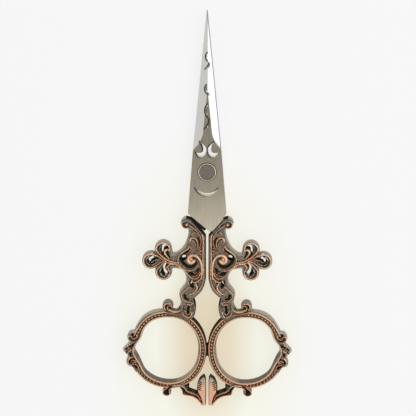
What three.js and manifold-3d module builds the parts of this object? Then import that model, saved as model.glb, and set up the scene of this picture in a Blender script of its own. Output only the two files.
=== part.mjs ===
// Ornate embroidery scissors, closed, lying flat: two pierced blades, two cast scrollwork handles, one rivet.
// Millimetres. The origin is on the pivot axis in the plane the handles lie on, +Y runs to the tip, +Z up.
import * as THREE from 'three';
import { mergeVertices } from 'three/addons/utils/BufferGeometryUtils.js';
import Module from 'manifold-3d';

const wasm = await Module();
wasm.setup();

// Blade plate
const TIP_REACH = 49.8;
const TIP_HALF_WIDTH = 0.15;
const GRIND_START = 7.5;
const GRIND_HALF_WIDTH = 4.35;
const HEEL_DROP = 13.3;
const HEEL_HALF_WIDTH = 6.05;
const HEEL_POINT_DROP = 6;
const HEEL_POINT_X = 1;
const BLADE_THICKNESS = 1.4;
const BEVEL_WIDTH = 2.55;
const EDGE_THICKNESS = 0.5;
const RUNNING_GAP = 0.2;

// Tang that each blade runs into its handle
const TANG_WIDTH = 3.4;
const TANG_LENGTH = 3.2;
const TANG_CLEARANCE = 0.3;

// Rivet
const RIVET_RADIUS = 1.5;
const RIVET_HEAD_RADIUS = 2.6;
const RIVET_FACE_RADIUS = 2.3;
const RIVET_FACE_HEIGHT = 0.35;
const RIVET_RING_WIDTH = 0.4;
const RIVET_RING_HEIGHT = 0.45;
const RIVET_CLEARANCE = 0.1;

// Handle casting
const HANDLE_THICKNESS = 4.8;
const DRAFT = 0.4;
const DRAFT_HEIGHT = 1.6;
const SHANK_GAP = 0.8;
const SHANK_EDGE = 14;
const SHOULDER_DROP = 1.3;
const SHOULDER_WIDTH = 0.9;
const SHOULDER_HEIGHT = 1.2;
const SLOPE_INSET = 0.7;
const SLOPE_DROP = 1.4;
const TOP_SCROLL_RADIUS = 1.85;
const TOP_SCROLL_OUT = 1.1;
const TOP_SCROLL_DROP = 1.75;

// Trefoil on the outer side of the shank
const TREFOIL_REACH = 10.9;
const TREFOIL_DROP = 8.05;
const LOBE_RADIUS = 2.72;
const LOBE_WAIST = 0.72;
const LOBE_HOLE_LENGTH = 2.4;
const LOBE_HOLE_WIDTH = 1.5;

// Its lobes: direction from the hub, and distance to the lobe's middle in lobe radii
const LOBES = [
  { angle: 55, reach: 1.66 },
  { angle: 0, reach: 2.42 },
  { angle: -55, reach: 1.62 },
];

// Finger ring
const RING_GAP = 0.3;
const RING_DROP = 23.1;
const RING_BAND = 2.35;
const RING_INNER_SIDE = 9.55;
const RING_INNER_TOP = 10.3;
const RING_INNER_BOTTOM = 11.25;
const RING_INNER_POINT = 11.2;
const RING_INNER_FLANK = 0.62;
const RING_OUTER_FLANK = 0.77;
const RING_SCROLL_RADIUS = 1.75;
const RING_SCROLL_SHIFT = 0.5;
const RING_CURL_RADIUS = 1.7;
const RING_BEAK = 1.6;
const FLEUR_RADIUS = 1.35;
const FLEUR_SHIFT = 0.9;

// Leaf spur below the ring
const SPUR_GAP = 0.9;
const SPUR_LENGTH = 9.9;
const SPUR_WIDTH = 2.9;
const SPUR_DROP = 5.8;
const BRACKET_WIDTH = 1.7;
const BRACKET_STEPS = 8;

// Smoothness of the curves
const SPLINE_STEPS = 3;
const RING_STEPS = 14;
const DISC_STEPS = 10;
const BORE_STEPS = 12;
const MOON_STEPS = 14;

// Crescents cut through the blades: chord middle, chord length, bulge, thickness, direction the horns point
const MOONS = [
  { x: 0, y: -5.1, span: 7.2, bulge: 2.5, thick: 0.85, opens: 90 },
  { x: -0.3, y: 15.2, span: 3.6, bulge: 0.95, thick: 0.5, opens: 155 },
  { x: 0.1, y: 19.2, span: 4.2, bulge: 0.95, thick: 0.5, opens: 0 },
  { x: 0.1, y: 25.7, span: 3.2, bulge: 1.1, thick: 0.55, opens: 18 },
  { x: -0.3, y: 33, span: 2.3, bulge: 0.65, thick: 0.4, opens: 150 },
  { x: -0.1, y: 35.7, span: 2.6, bulge: 0.65, thick: 0.4, opens: 0 },
];

// The large pair above the pivot, left one: its outer line from horn to horn, and its inner line
const PAIR_OUTER = [
  [-2.2, 9.6], [-0.6, 8], [-0.27, 6.95], [-0.6, 5.45], [-1.65, 4.65], [-2.8, 5.05], [-3.4, 6.2],
];
const PAIR_INNER = [[-2.35, 5.95], [-1.4, 6.4], [-1.22, 7.4], [-1.58, 8.5]];

// Places worked out from the sizes above, for the half whose handle lies on the +X side
const heelCorner = new THREE.Vector2(HEEL_HALF_WIDTH, -HEEL_DROP);
const heelPoint = new THREE.Vector2(HEEL_POINT_X, -HEEL_DROP - HEEL_POINT_DROP);
const shoulder = new THREE.Vector2(SHANK_GAP / 2, heelPoint.y - SHOULDER_DROP);
const foot = shoulder.clone().add(new THREE.Vector2(0, -SHANK_EDGE));
const slopeTop = heelCorner.clone().add(new THREE.Vector2(-SLOPE_INSET, -SLOPE_DROP));
const slopeEnd = shoulder.clone().add(new THREE.Vector2(SHOULDER_WIDTH, SHOULDER_HEIGHT));
const topScroll = slopeTop.clone().add(new THREE.Vector2(TOP_SCROLL_OUT, -TOP_SCROLL_DROP));
const hub = shoulder.clone().add(new THREE.Vector2(TREFOIL_REACH, -TREFOIL_DROP));
const ring = new THREE.Vector2(RING_GAP / 2 + RING_BAND + RING_INNER_SIDE, foot.y - RING_DROP);
const ringTop = ring.y + RING_INNER_TOP + RING_BAND;
const ringBottom = ring.y - RING_INNER_BOTTOM - RING_BAND;
const ringOuterEnd = ring.x + RING_INNER_POINT + RING_BAND;
const tangMiddle = slopeEnd.clone().lerp(slopeTop, 0.5);

// Joins and cuts
function toSolid(geometry) {
  geometry.deleteAttribute('normal');
  geometry.deleteAttribute('uv');
  const merged = mergeVertices(geometry, 1e-4);
  const vertProperties = Float32Array.from(merged.attributes.position.array);
  const triVerts = Uint32Array.from(merged.index.array);
  return new wasm.Manifold(new wasm.Mesh({ numProp: 3, vertProperties, triVerts }));
}

function toGeometry(solid) {
  const mesh = solid.getMesh();
  const geometry = new THREE.BufferGeometry();
  geometry.setAttribute('position', new THREE.BufferAttribute(mesh.vertProperties, 3));
  geometry.setIndex(new THREE.BufferAttribute(mesh.triVerts, 1));
  geometry.computeVertexNormals();
  return geometry;
}

function join(solids) {
  return solids.reduce((whole, next) => whole.add(next));
}

// A slab that is full size on its middle plane and drawn in by the draft at both faces
function castSlab(shape, curveSegments) {
  const geometry = new THREE.ExtrudeGeometry(shape, {
    depth: HANDLE_THICKNESS - 2 * DRAFT_HEIGHT,
    bevelThickness: DRAFT_HEIGHT,
    bevelSize: DRAFT,
    bevelOffset: -DRAFT,
    bevelSegments: 1,
    curveSegments,
  });
  geometry.translate(0, 0, DRAFT_HEIGHT - HANDLE_THICKNESS / 2);
  return toSolid(geometry);
}

function castDisc(centre, radius) {
  const shape = new THREE.Shape();
  shape.absarc(centre.x, centre.y, radius, 0, 2 * Math.PI);
  return castSlab(shape, DISC_STEPS);
}

function from(anchor, offsets) {
  return offsets.map(([x, y]) => new THREE.Vector2(anchor.x + x, anchor.y + y));
}

// A band of even width along a smooth line through the given points
function castRibbon(points, width, steps) {
  const line = new THREE.SplineCurve(points);
  const left = [];
  const right = [];
  for (let i = 0; i <= steps; i += 1) {
    const at = line.getPoint(i / steps);
    const along = line.getTangent(i / steps);
    const side = new THREE.Vector2(-along.y, along.x).multiplyScalar(width / 2);
    left.push(at.clone().add(side));
    right.unshift(at.clone().sub(side));
  }
  return castSlab(new THREE.Shape(left.concat(right)), 1);
}

// Blade
function moonArc({ x, y, span, opens }, depth) {
  const turn = THREE.MathUtils.degToRad(opens);
  const radius = (span * span / 4 + depth * depth) / (2 * depth);
  const half = Math.atan2(span / 2, depth - radius);
  const cx = x + (radius - depth) * Math.cos(turn);
  const cy = y + (radius - depth) * Math.sin(turn);
  const curve = new THREE.EllipseCurve(cx, cy, radius, radius, turn + half, turn + 2 * Math.PI - half);
  return curve.getPoints(MOON_STEPS);
}

function moonHole(moon) {
  const outer = moonArc(moon, moon.bulge);
  const inner = moonArc(moon, moon.bulge - moon.thick).reverse();
  return new THREE.Path(outer.concat(inner.slice(1, -1)));
}

function pairHole(side) {
  const outer = PAIR_OUTER.map(([x, y]) => new THREE.Vector2(side * x, y));
  const inner = PAIR_INNER.map(([x, y]) => new THREE.Vector2(side * x, y));
  const there = new THREE.SplineCurve(outer).getPoints(2 * MOON_STEPS);
  const back = new THREE.SplineCurve([outer.at(-1), ...inner, outer[0]]).getPoints(2 * MOON_STEPS);
  return new THREE.Path(there.concat(back.slice(1, -1)));
}

function bladeShape() {
  const slope = slopeEnd.clone().sub(slopeTop).normalize();
  const clear = new THREE.Vector2(slope.y, -slope.x).multiplyScalar(TANG_CLEARANCE);
  const steepness = slope.y / slope.x;
  const onSlope = (x) => slopeTop.y + clear.y + (x - slopeTop.x - clear.x) * steepness;
  const tangLow = tangMiddle.y - TANG_LENGTH;
  const tangOuter = tangMiddle.x + TANG_WIDTH / 2;
  const tangInner = tangMiddle.x - TANG_WIDTH / 2;
  const shape = new THREE.Shape();
  shape.moveTo(TIP_HALF_WIDTH, TIP_REACH);
  shape.lineTo(-TIP_HALF_WIDTH, TIP_REACH);
  shape.lineTo(-GRIND_HALF_WIDTH, GRIND_START);
  shape.lineTo(-heelCorner.x, heelCorner.y);
  shape.lineTo(heelPoint.x, heelPoint.y);
  shape.lineTo(tangInner, onSlope(tangInner));
  shape.lineTo(tangInner, tangLow);
  shape.lineTo(tangOuter, tangLow);
  shape.lineTo(tangOuter, onSlope(tangOuter));
  shape.lineTo(heelCorner.x, heelCorner.y);
  shape.lineTo(GRIND_HALF_WIDTH, GRIND_START);
  return shape;
}

// The ground face on one side: a block whose underside rises inwards from the cutting edge
function bevelCutter(side) {
  const edge = new THREE.Vector2(GRIND_HALF_WIDTH - TIP_HALF_WIDTH, GRIND_START - TIP_REACH);
  const rise = BLADE_THICKNESS - EDGE_THICKNESS;
  const length = edge.length() * 1.5;
  const block = new THREE.BoxGeometry(4 * BEVEL_WIDTH, length, 2 * BEVEL_WIDTH);
  block.translate(0, length / 2, BEVEL_WIDTH);
  block.rotateY(side * Math.atan2(rise, BEVEL_WIDTH));
  block.rotateZ(side * Math.atan2(edge.x, -edge.y));
  block.translate(side * GRIND_HALF_WIDTH, GRIND_START, EDGE_THICKNESS);
  return toSolid(block);
}

function makeBlade() {
  const shape = bladeShape();
  const bore = new THREE.Path();
  bore.absarc(0, 0, RIVET_RADIUS + RIVET_CLEARANCE, 0, 2 * Math.PI);
  shape.holes.push(bore, pairHole(1), pairHole(-1), ...MOONS.map(moonHole));
  const plate = new THREE.ExtrudeGeometry(shape, {
    depth: BLADE_THICKNESS,
    bevelEnabled: false,
    curveSegments: BORE_STEPS,
  });
  const ground = toSolid(plate).subtract(bevelCutter(1)).subtract(bevelCutter(-1));
  const geometry = toGeometry(ground);
  geometry.translate(0, 0, RUNNING_GAP / 2);
  return geometry;
}

// Handle
function shankSlab() {
  const shape = new THREE.Shape();
  shape.moveTo(slopeTop.x, slopeTop.y);
  shape.lineTo(slopeEnd.x, slopeEnd.y);
  shape.lineTo(shoulder.x, shoulder.y);
  shape.lineTo(foot.x, foot.y);
  shape.splineThru(from(foot, [[0.55, -2.3], [1.5, -4.2], [3, -5.7], [3.8, -6.4]]));
  shape.splineThru(from({ x: ring.x, y: ringTop }, [[-8.35, 2.1], [-8.45, 0.6], [-8.1, -1.4], [-7.3, -3.2]]));
  shape.lineTo(ring.x - 2.8, ringTop - 1.6);
  shape.lineTo(ring.x - 2.5, ringTop - 0.1);
  shape.splineThru(from({ x: ring.x, y: ringTop }, [[-3.4, 1.4], [-3.65, 2.8]]));
  const neck = [[8.35, -5.9], [8.5, -4.9], [8.2, -4], [7.35, -2.85], [6.6, -1.8], [6.3, -0.6]];
  shape.splineThru(from(foot, neck));
  shape.splineThru(from(hub, [[-4.6, -5.35], [-4.25, -4.15], [-3.5, -3.15], [-2.3, -2.55], [0.7, -2.3]]));
  shape.lineTo(hub.x + 0.7, hub.y + 2.2);
  shape.lineTo(hub.x - 0.8, hub.y + 2.2);
  shape.splineThru(from(hub, [[-1.8, 2.55], [-3.1, 3.6], [-4.3, 5.3]]));
  shape.splineThru(from(topScroll, [[-0.25, -4.65], [-0.55, -3.15], [-0.5, -1.75]]));
  return castSlab(shape, SPLINE_STEPS);
}

// A teardrop lobe with an eye through it, its point at the hub
function lobeSlab({ angle, reach }) {
  const turn = THREE.MathUtils.degToRad(angle);
  const place = (along, across) => new THREE.Vector2(
    hub.x + along * Math.cos(turn) - across * Math.sin(turn),
    hub.y + along * Math.sin(turn) + across * Math.cos(turn),
  );
  const centre = place(reach * LOBE_RADIUS, 0);
  const tangentTurn = Math.acos(-LOBE_WAIST / reach);
  const shape = new THREE.Shape();
  shape.absarc(centre.x, centre.y, LOBE_RADIUS, turn - tangentTurn, turn + tangentTurn);
  shape.lineTo(place(0, DRAFT * 2).x, place(0, DRAFT * 2).y);
  shape.lineTo(place(0, -DRAFT * 2).x, place(0, -DRAFT * 2).y);
  const eye = new THREE.Path();
  eye.absellipse(centre.x, centre.y, LOBE_HOLE_LENGTH / 2, LOBE_HOLE_WIDTH / 2, 0, 2 * Math.PI, true, turn);
  shape.holes.push(eye);
  return castSlab(shape, DISC_STEPS);
}

// An egg outline with its point on the outer side; the flank is how full it is above the point
function egg(path, flank, side, top, bottom, point) {
  const { x, y } = ring;
  path.moveTo(x + point, y);
  path.bezierCurveTo(x + 0.74 * point, y + flank * top, x + 0.64 * point, y + top, x, y + top);
  path.bezierCurveTo(x - 0.54 * side, y + top, x - side, y + 0.55 * top, x - side, y);
  path.bezierCurveTo(x - side, y - 0.57 * bottom, x - 0.6 * side, y - bottom, x, y - bottom);
  path.bezierCurveTo(x + 0.66 * point, y - bottom, x + 0.97 * point, y - 0.5 * bottom, x + point, y);
  return path;
}

function ringSlab() {
  const sizes = [RING_INNER_SIDE, RING_INNER_TOP, RING_INNER_BOTTOM, RING_INNER_POINT];
  const shape = egg(new THREE.Shape(), RING_OUTER_FLANK, ...sizes.map((size) => size + RING_BAND));
  shape.holes.push(egg(new THREE.Path(), RING_INNER_FLANK, ...sizes));
  return castSlab(shape, RING_STEPS);
}

// The beak on the ring's outer point with a curl above and below it
function beakSlabs() {
  const root = new THREE.Vector2(ringOuterEnd, ring.y);
  const beak = new THREE.Shape(from(root, [[RING_BEAK, -0.7], [-0.8, 1.9], [-2, 0], [-0.5, -3.1]]));
  const upper = from(root, [[-1.6, 3.6]])[0];
  const lower = from(root, [[-1.2, -4.6]])[0];
  return [castSlab(beak, 1), castDisc(upper, RING_CURL_RADIUS), castDisc(lower, RING_CURL_RADIUS)];
}

function fleurSlabs() {
  const root = new THREE.Vector2(ring.x + FLEUR_SHIFT, ringBottom);
  const bud = from(root, [[0, -FLEUR_RADIUS]])[0];
  const stem = [bud, from(root, [[0, RING_BAND / 2]])[0]];
  return [castDisc(bud, FLEUR_RADIUS), castRibbon(stem, 1.2 * FLEUR_RADIUS, 1)];
}

function spurSlabs() {
  const tip = new THREE.Vector2(SPUR_GAP / 2, ringBottom - SPUR_DROP);
  const leaf = new THREE.Shape();
  leaf.moveTo(tip.x, tip.y);
  leaf.lineTo(tip.x, tip.y + SPUR_LENGTH - 1);
  leaf.lineTo(tip.x + 0.6, tip.y + SPUR_LENGTH);
  leaf.lineTo(tip.x + 0.7 * SPUR_WIDTH, tip.y + 0.88 * SPUR_LENGTH);
  leaf.splineThru(from(tip, [
    [0.95 * SPUR_WIDTH, 0.73 * SPUR_LENGTH],
    [SPUR_WIDTH, 0.55 * SPUR_LENGTH],
    [0.9 * SPUR_WIDTH, 0.38 * SPUR_LENGTH],
    [0.52 * SPUR_WIDTH, 0],
  ]));
  const arm = [
    new THREE.Vector2(ring.x - 3.6, ringBottom + RING_BAND / 2),
    new THREE.Vector2(ring.x - 4.7, ringBottom - 0.5),
    new THREE.Vector2(ring.x - 6, ringBottom - 1.7),
    new THREE.Vector2(ring.x - 7.8, ringBottom - 2.3),
    new THREE.Vector2(tip.x + 0.5 * SPUR_WIDTH, tip.y + 0.2 * SPUR_LENGTH),
  ];
  return [castSlab(leaf, SPLINE_STEPS), castRibbon(arm, BRACKET_WIDTH, BRACKET_STEPS)];
}

function tangPocket() {
  const top = heelCorner.y;
  const low = tangMiddle.y - TANG_LENGTH - TANG_CLEARANCE;
  const width = TANG_WIDTH + 2 * TANG_CLEARANCE;
  const pocket = new THREE.BoxGeometry(width, top - low, BLADE_THICKNESS + 2 * TANG_CLEARANCE);
  pocket.translate(tangMiddle.x, (top + low) / 2, RUNNING_GAP / 2 + BLADE_THICKNESS / 2);
  return toSolid(pocket);
}

function makeHandle() {
  const ringScroll = new THREE.Vector2(ring.x + RING_SCROLL_SHIFT, ringTop + 0.75 * RING_SCROLL_RADIUS);
  const casting = join([
    shankSlab(),
    castDisc(topScroll, TOP_SCROLL_RADIUS),
    ...LOBES.map(lobeSlab),
    ringSlab(),
    castDisc(ringScroll, RING_SCROLL_RADIUS),
    ...beakSlabs(),
    ...fleurSlabs(),
    ...spurSlabs(),
  ]);
  return toGeometry(casting.subtract(tangPocket()));
}

// Rivet, turned about the pivot axis and headed against both blades
function turned(profile) {
  const geometry = new THREE.LatheGeometry(profile.map(([r, z]) => new THREE.Vector2(r, z)), 3 * DISC_STEPS);
  geometry.rotateX(Math.PI / 2);
  return toGeometry(toSolid(geometry));
}

const bladesHalfHeight = RUNNING_GAP / 2 + BLADE_THICKNESS;
const rivetFaceSeat = HANDLE_THICKNESS / 2 + bladesHalfHeight + RIVET_CLEARANCE;
const rivetBackSeat = HANDLE_THICKNESS / 2 - bladesHalfHeight - RIVET_CLEARANCE;

function makeRivet() {
  return turned([
    [0, 0],
    [RIVET_HEAD_RADIUS, 0],
    [RIVET_HEAD_RADIUS, rivetBackSeat],
    [RIVET_RADIUS, rivetBackSeat],
    [RIVET_RADIUS, rivetFaceSeat],
    [RIVET_FACE_RADIUS, rivetFaceSeat],
    [RIVET_FACE_RADIUS, rivetFaceSeat + RIVET_FACE_HEIGHT],
    [0, rivetFaceSeat + RIVET_FACE_HEIGHT],
  ]);
}

function makeRivetRing() {
  const inner = RIVET_FACE_RADIUS + RIVET_CLEARANCE;
  const outer = inner + RIVET_RING_WIDTH;
  const top = rivetFaceSeat + RIVET_RING_HEIGHT;
  const seat = rivetFaceSeat;
  return turned([[inner, seat], [outer, seat], [outer, top], [inner, top], [inner, seat]]);
}

// Materials
const steel = () => new THREE.MeshStandardMaterial({ color: 0xb3aa9c, roughness: 0.35, metalness: 1 });
const brightSteel = () => new THREE.MeshStandardMaterial({ color: 0xe2dfd8, roughness: 0.2, metalness: 1 });
const rivetSteel = () => new THREE.MeshStandardMaterial({ color: 0x7d7168, roughness: 0.4, metalness: 1 });
const antiqueCopper = () => new THREE.MeshStandardMaterial({ color: 0x8f5f45, roughness: 0.4, metalness: 1 });

function piece(name, geometry, material) {
  const mesh = new THREE.Mesh(geometry, material);
  mesh.name = name;
  return mesh;
}

// One blade with its handle, measured from the middle plane between the two blades
function half(bladeName, handleName) {
  const group = new THREE.Group();
  group.add(piece(bladeName, makeBlade(), steel()));
  group.add(piece(handleName, makeHandle(), antiqueCopper()));
  group.position.z = HANDLE_THICKNESS / 2;
  return group;
}

const scissors = new THREE.Group();
const frontHalf = half('front_blade', 'right_handle');
const rearHalf = half('rear_blade', 'left_handle');
rearHalf.rotation.y = Math.PI;
scissors.add(frontHalf, rearHalf);
scissors.add(piece('pivot_rivet', makeRivet(), rivetSteel()));
scissors.add(piece('rivet_ring', makeRivetRing(), brightSteel()));

export default scissors;
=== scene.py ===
import math

import bpy
import numpy as np
from mathutils import Matrix, Vector


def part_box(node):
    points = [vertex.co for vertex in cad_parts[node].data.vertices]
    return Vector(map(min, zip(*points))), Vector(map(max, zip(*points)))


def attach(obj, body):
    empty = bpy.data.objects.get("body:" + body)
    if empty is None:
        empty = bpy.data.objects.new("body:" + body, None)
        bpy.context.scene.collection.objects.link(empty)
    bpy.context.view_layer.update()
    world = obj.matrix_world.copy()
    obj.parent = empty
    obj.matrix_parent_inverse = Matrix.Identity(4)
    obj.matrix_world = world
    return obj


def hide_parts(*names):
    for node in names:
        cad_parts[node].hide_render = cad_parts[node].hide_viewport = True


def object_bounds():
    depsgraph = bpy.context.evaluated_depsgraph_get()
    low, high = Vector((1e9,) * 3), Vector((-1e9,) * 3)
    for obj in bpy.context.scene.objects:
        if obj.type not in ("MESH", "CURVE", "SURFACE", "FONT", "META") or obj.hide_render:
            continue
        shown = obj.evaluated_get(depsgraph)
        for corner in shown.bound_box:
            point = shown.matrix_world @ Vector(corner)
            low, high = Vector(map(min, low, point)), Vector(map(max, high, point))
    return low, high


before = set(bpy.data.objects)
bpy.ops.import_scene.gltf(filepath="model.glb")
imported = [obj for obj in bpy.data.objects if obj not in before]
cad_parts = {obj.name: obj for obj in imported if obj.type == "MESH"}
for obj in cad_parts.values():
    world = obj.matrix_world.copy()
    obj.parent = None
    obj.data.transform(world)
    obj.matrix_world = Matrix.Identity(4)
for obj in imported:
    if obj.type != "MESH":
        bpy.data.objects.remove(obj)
cad_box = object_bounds()

MM = 0.001
TINY = 1e-12
ALMOST_PARALLEL = 1e-9
SHARP_ANGLE = math.radians(50)

# Camera, in millimetres and degrees: tilted towards the tips and a little to the right
CAMERA_AIM = (0.27, -11.48, 3.9)
CAMERA_DISTANCE = 400
CAMERA_TILT = 13
CAMERA_SWING = 1.3
CAMERA_LENS = 110.71
SENSOR_WIDTH = 36

# Grids that the plates are cut from: lengths in millimetres, and the snap in cells
HANDLE_PITCH = 0.106
BLADE_PITCH = 0.1
GRID_MARGIN = 0.6
SNAP = 0.3

# Blade: lengths in millimetres
BLADE_CUT_HEIGHT = 0.25
HEEL_X = 6.05
HEEL_Y = -13.3
HEEL_POINT = (1, -19.3)
EDGE_LOW_X = 4.35
EDGE_LOW_Y = 7.5
EDGE_BAND = 0.25
TIP_X = 0.15
BORE_REACH = 2
GRIND_LOW = 6.9
GRIND_FULL = 13
GRIND_WIDTH = 2.62
GRIND_SLOPE = 0.353
GRIND_CURVE = 2.2
RIGHT_GRIND_LESS = 0.27
SMALL_CRESCENTS = [(11.5, 22.5, 0.3), (22.5, 45, 0.45)]
PLUNGE = 0.5
PLUNGE_RUN = 0.25
LAND_WIDTH = 0.3
# Painted shade on the blade: dark left and lower rims of the crescents, and a shadow line round the rivet's
# ring
RIM_WIDTH = 0.5
RIM_FADE = 0.15
RIM_FACING = (1.3, 0.15)
RING_SHADOW = (2.76, 3.02)
RING_SHADOW_SHARE = 0.7
# Painted shade in the gap by the other blade's heel
GAP_SHADE_PAST = 0.2

# Handle casting: lengths in millimetres, heights above its middle plane
HANDLE_CUT_DROP = 0.5
HALF_THICKNESS = 2.4
WALL_TOP = 0.8
WALL_RUN = 0.22
WALL_CURVE = 0.6
PALE_RUN = (0.25, 0.6)
COPPER_RISE = (0.12, 0.15)
GROUND = 1.8
FOOT = 0.3
CREST = 2.38
PIT_FLOOR = 1.0
SHANK_FLOOR = 1.4
CUT_FLOOR = 1.5
GROOVE_STEEPNESS = 2
FILL_STEEPNESS = 3
EDGE_LINE = 0.55
EDGE_LINE_WIDTH = 0.54
EDGE_REACH = 2.5
CONTACT_X = 0.015
CONTACT_Y = -58.5
CONTACT_HALF = 2
CONTACT_TAPER = 0.3
CONTACT_REACH = 1
STROKE_STEPS = 8

# Black patina in the casting's hollows, and painted shade beside its raised lines and on its walls: shares
# of black, and where it lies in millimetres
RAISED = 0.2
HALO_CELLS = 5
HALO = 0.74
HALO_GAIN = 2.6
HALO_START = 0.3
WALL_MARGIN = 0.1
WALL_SHADE = 0.4
WALL_SHADE_AND_PATINA = 0.35
RIM_SHADE = 0.3
RIM_RUN = 0.08
INWARD_GAIN = 1.4
INWARD_TO = 6.5
BLADE_SIDE = (6.6, -20.6)
BLADE_FACING = -0.3
WALL_FACING = -0.2
HOLE_REACH = 11.9
HOLE_SHADE_FROM = (6, -57)
HOLE_SHADE_RUN = 8
HOLE_SHADE = (0.05, 0.6)
PIERCED_SHADE = 0.9
PIERCED_FROM = 0.6
LEAF_SHADE = 0.75
LEAF_SHADE_CORNER = (6.9, -65)
WALL_SHADE_BOXES = [(0.5, (7.4, -46.2), (11.6, -43)), (0.45, (10.8, -44.6), (14.8, -41))]

# Rivet ring: its width in millimetres, and its steps
RIVET_RING_WIDTH = 0.38
PROFILE_STEPS = 11
TURN_STEPS = 96


# Fields on a grid
class Sheet:
    """A square grid over an outline, in millimetres."""

    def __init__(self, outline, pitch):
        points = outline.reshape(-1, 2)
        low = points.min(0) - GRID_MARGIN
        high = points.max(0) + GRID_MARGIN + pitch
        self.pitch = pitch
        self.xs = np.arange(math.floor(low[0] / pitch) * pitch, high[0], pitch)
        self.ys = np.arange(low[1], high[1], pitch)
        self.x, self.y = np.meshgrid(self.xs, self.ys)

    def window(self, low, high):
        columns = slice(*np.searchsorted(self.xs, (low[0], high[0])))
        rows = slice(*np.searchsorted(self.ys, (low[1], high[1])))
        return rows, columns

    def in_box(self, low, high):
        return (self.x > low[0]) & (self.x < high[0]) & (self.y > low[1]) & (self.y < high[1])

    def apart(self, point):
        return np.hypot(self.x - point[0], self.y - point[1])

    def beside(self, a, b, reach):
        """The window round a segment, and the distance from the segment in it."""
        part = self.window(np.minimum(a, b) - reach, np.maximum(a, b) + reach)
        along = b - a
        px = self.x[part] - a[0]
        py = self.y[part] - a[1]
        t = unit((px * along[0] + py * along[1]) / max(along @ along, TINY))
        return part, np.hypot(px - t * along[0], py - t * along[1])

    def distance(self, segments, reach):
        """Distance to the nearest segment, up to reach."""
        best = np.full(self.x.shape, float(reach))
        for a, b in segments:
            part, away = self.beside(a, b, reach)
            shrink(best, part, away)
        return best

    def inside(self, segments):
        """Whether each point is enclosed, by counting the edges on its left."""
        odd = np.zeros(self.x.shape, bool)
        for a, b in segments:
            low, high = (a, b) if a[1] < b[1] else (b, a)
            rows = slice(*np.searchsorted(self.ys, (low[1], high[1])))
            if rows.start == rows.stop:
                continue
            slant = (high[0] - low[0]) / (high[1] - low[1])
            crossing = low[0] + (self.ys[rows] - low[1]) * slant
            odd[rows] ^= self.xs[None, :] > crossing[:, None]
        return odd

    def depth(self, segments, reach):
        """Distance in from the outline, negative outside."""
        away = self.distance(segments, reach)
        return np.where(self.inside(segments), away, -away)

    def snap(self, depth):
        """Moves grid points that almost lie on the outline onto it."""
        near = np.abs(depth) < SNAP * self.pitch
        slope_y, slope_x = np.gradient(depth, self.pitch)
        self.x = np.where(near, self.x - depth * slope_x, self.x)
        self.y = np.where(near, self.y - depth * slope_y, self.y)
        return np.where(near, 0.0, depth)


def grow(field, part, value):
    field[part] = np.maximum(field[part], value)


def shrink(field, part, value):
    field[part] = np.minimum(field[part], value)


def unit(field):
    """The field limited to 0 and 1."""
    return np.clip(field, 0, 1)


def rising(field, start, run):
    """0 up to the start, and 1 after the run."""
    return unit((field - start) / run)


def blurred(field, cells):
    """The field averaged over a square of 2 * cells + 1 points."""
    for axis in (0, 1):
        field = sum(np.roll(field, step, axis) for step in range(-cells, cells + 1)) / (2 * cells + 1)
    return field


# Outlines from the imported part
def cut(node, height):
    """Where a level plane cuts a CAD node: pairs of end points in millimetres."""
    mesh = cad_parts[node].data
    mesh.calc_loop_triangles()
    points = np.empty(3 * len(mesh.vertices))
    mesh.vertices.foreach_get("co", points)
    corners = np.empty(3 * len(mesh.loop_triangles), int)
    mesh.loop_triangles.foreach_get("vertices", corners)
    triangle = points.reshape(-1, 3)[corners.reshape(-1, 3)] / MM
    following = np.roll(triangle, -1, axis=1)
    passed = (triangle[..., 2] > height) != (following[..., 2] > height)
    rise = np.where(passed, following[..., 2] - triangle[..., 2], 1)
    share = (height - triangle[..., 2]) / rise
    meets = triangle[..., :2] + share[..., None] * (following - triangle)[..., :2]
    return meets[passed].reshape(-1, 2, 2)


def crossed(a, b):
    """The cross product of two plane vectors held as complex numbers."""
    return (a.conj() * b).imag


def hole_edge(segments, centre, count):
    """The first edge met in each direction from a point in a hole, from that point, as complex numbers."""
    turn = np.linspace(0, 2 * math.pi, count, endpoint=False)
    ray = (np.cos(turn) + 1j * np.sin(turn))[:, None]
    start, finish = ((segments - centre) @ np.array([1, 1j])).T
    slant = crossed(ray, finish - start)
    slant = np.where(np.abs(slant) < ALMOST_PARALLEL, ALMOST_PARALLEL, slant)
    far = crossed(start, finish - start) / slant
    place = crossed(start, ray) / slant
    met = (place >= 0) & (place <= 1) & (far > 0)
    return ray[:, 0] * np.where(met, far, np.inf).min(1)


# Solid plates
def plate(name, sheet, depth, top, bottom, **marks):
    """A closed mesh where depth isn't negative; a mark has an upper and a lower side."""
    sides = [side for pair in marks.values() for side in pair]
    values = [field.ravel() for field in (sheet.x, sheet.y, top, bottom, *sides)]
    rows, columns = depth.shape
    number = np.arange(rows * columns).reshape(rows, columns)
    corners = [number[:-1, :-1], number[:-1, 1:], number[1:, 1:], number[1:, :-1]]
    cells = np.stack(corners, axis=-1).reshape(-1, 4)
    flat = depth.ravel()
    state = flat[cells]
    whole = cells[(state >= 0).all(1) & (state > 0).any(1)]
    split = cells[(state < 0).any(1) & (state > 0).any(1)]
    crossings = {}
    pieces = []
    for cell in split.tolist():
        face = []
        for here, there in zip(cell, cell[1:] + cell[:1]):
            if flat[here] >= 0:
                face.append(here)
            if flat[here] * flat[there] < 0:
                key = (min(here, there), max(here, there))
                face.append(crossings.setdefault(key, flat.size + len(crossings)))
        if len(face) > 2:
            pieces.append(face)
    first, second = np.array(list(crossings)).T
    share = flat[first] / (flat[first] - flat[second])
    values = [np.append(v, v[first] + share * (v[second] - v[first])) for v in values]
    return solid(name, values, whole, pieces, list(marks))


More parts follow.
